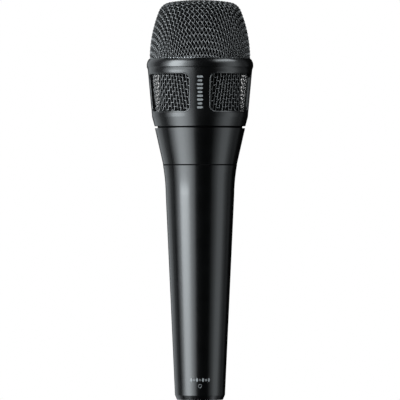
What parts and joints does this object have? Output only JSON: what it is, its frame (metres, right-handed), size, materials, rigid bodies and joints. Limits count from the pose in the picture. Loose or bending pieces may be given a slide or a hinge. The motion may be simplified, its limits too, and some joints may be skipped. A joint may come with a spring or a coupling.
{
  "type": "dynamic microphone",
  "caption": "Hand-held dynamic vocal microphone with woven mesh dome, windowed cage, tapered handle, unscrewing head, rubber-mounted cartridge and pin socket.",
  "frame": {"origin": "centre of the handle's round end face, which holds the socket", "axes": "+Z along the handle towards the mesh dome, -Y the front with the marked post of the cage, +Y the side with the socket's locking screw"},
  "size_m": [0.051, 0.051, 0.1914],
  "materials": {
    "body_paint": "satin black paint",
    "cage_paint": "satin black paint, slightly more matte than the handle",
    "mesh_paint": "black-painted woven steel wire",
    "foam": "open-cell black foam",
    "ring_metal": "dark anodised",
    "rubber": "matte black rubber",
    "socket_metal": "nickel plated",
    "socket_plastic": "moulded, matte",
    "pin_metal": "silver plated",
    "tinned_brass": "tinned",
    "wire_red": "insulation",
    "wire_white": "insulation",
    "cartridge_plastic": "moulded, matte",
    "cap_metal": "drawn, satin",
    "board": "paper laminate",
    "felt": "felt and cloth",
    "steel": "machined",
    "magnet": "nickel plated",
    "copper": "enamelled copper wire",
    "film": "thin formed film",
    "ring_plastic": "moulded"
  },
  "bodies": {
    "microphone": {"handle_tube": "body_paint", "collar": "body_paint", "xlr_shell": "socket_metal", "xlr_insulator": "socket_plastic", "xlr_pin_1": "pin_metal", "xlr_pin_2": "pin_metal", "xlr_pin_3": "pin_metal", "ground_lug": "tinned_brass", "xlr_screw": "socket_metal", "lead_hot": "wire_red", "lead_cold": "wire_white", "shock_mount": "rubber", "shock_mount_retainer": "ring_metal", "grille_o_ring": "rubber"},
    "grille_sleeve": {"window_foam": "foam"},
    "grille_liner": {"dome_foam": "foam"},
    "grille": {"grille_cage": "cage_paint", "dome_mesh": "mesh_paint", "window_mesh": "mesh_paint", "mesh_clamp_ring": "ring_metal"},
    "cartridge": {"rear_chamber": "cartridge_plastic", "terminal_board": "board", "terminals": "tinned_brass", "chamber_seal": "rubber", "cartridge_body": "cartridge_plastic", "port_cloth": "felt", "rear_felt": "felt", "magnet_cup": "steel", "magnet": "magnet", "pole_piece": "steel", "diaphragm_ring": "ring_plastic", "front_felt": "felt", "front_cap": "cap_metal"},
    "moving_coil": {"diaphragm": "film", "voice_coil": "copper"}
  },
  "joints": [
    {"name": "grille_lift_off", "type": "slide", "parent": "microphone", "child": "grille_sleeve", "axis": [0, 0, 1], "range_m": [0, 0.06]},
    {"name": "grille_rise", "type": "slide", "parent": "grille_sleeve", "child": "grille_liner", "axis": [0, 0, 1], "range_m": [0, 0.0045]},
    {"name": "grille_turn", "type": "hinge", "parent": "grille_liner", "child": "grille", "pos_m": [0, 0, 0.1334], "axis": [0, 0, 1], "range_deg": [0, 1080]},
    {"name": "cartridge_float", "type": "slide", "parent": "microphone", "child": "cartridge", "axis": [0, 0, 1], "range_m": [-0.001, 0.001], "stiffness_N_per_m": 4000, "deforming": ["shock_mount", "lead_hot", "lead_cold"]},
    {"name": "diaphragm_travel", "type": "slide", "parent": "cartridge", "child": "moving_coil", "axis": [0, 0, 1], "range_m": [-0.0002, 0.0002], "stiffness_N_per_m": 60, "deforming": ["diaphragm"]}
  ],
  "couplings": [
    {"joint": "grille_rise", "follows": "grille_turn", "m_per_rad": 0.00023873}
  ]
}
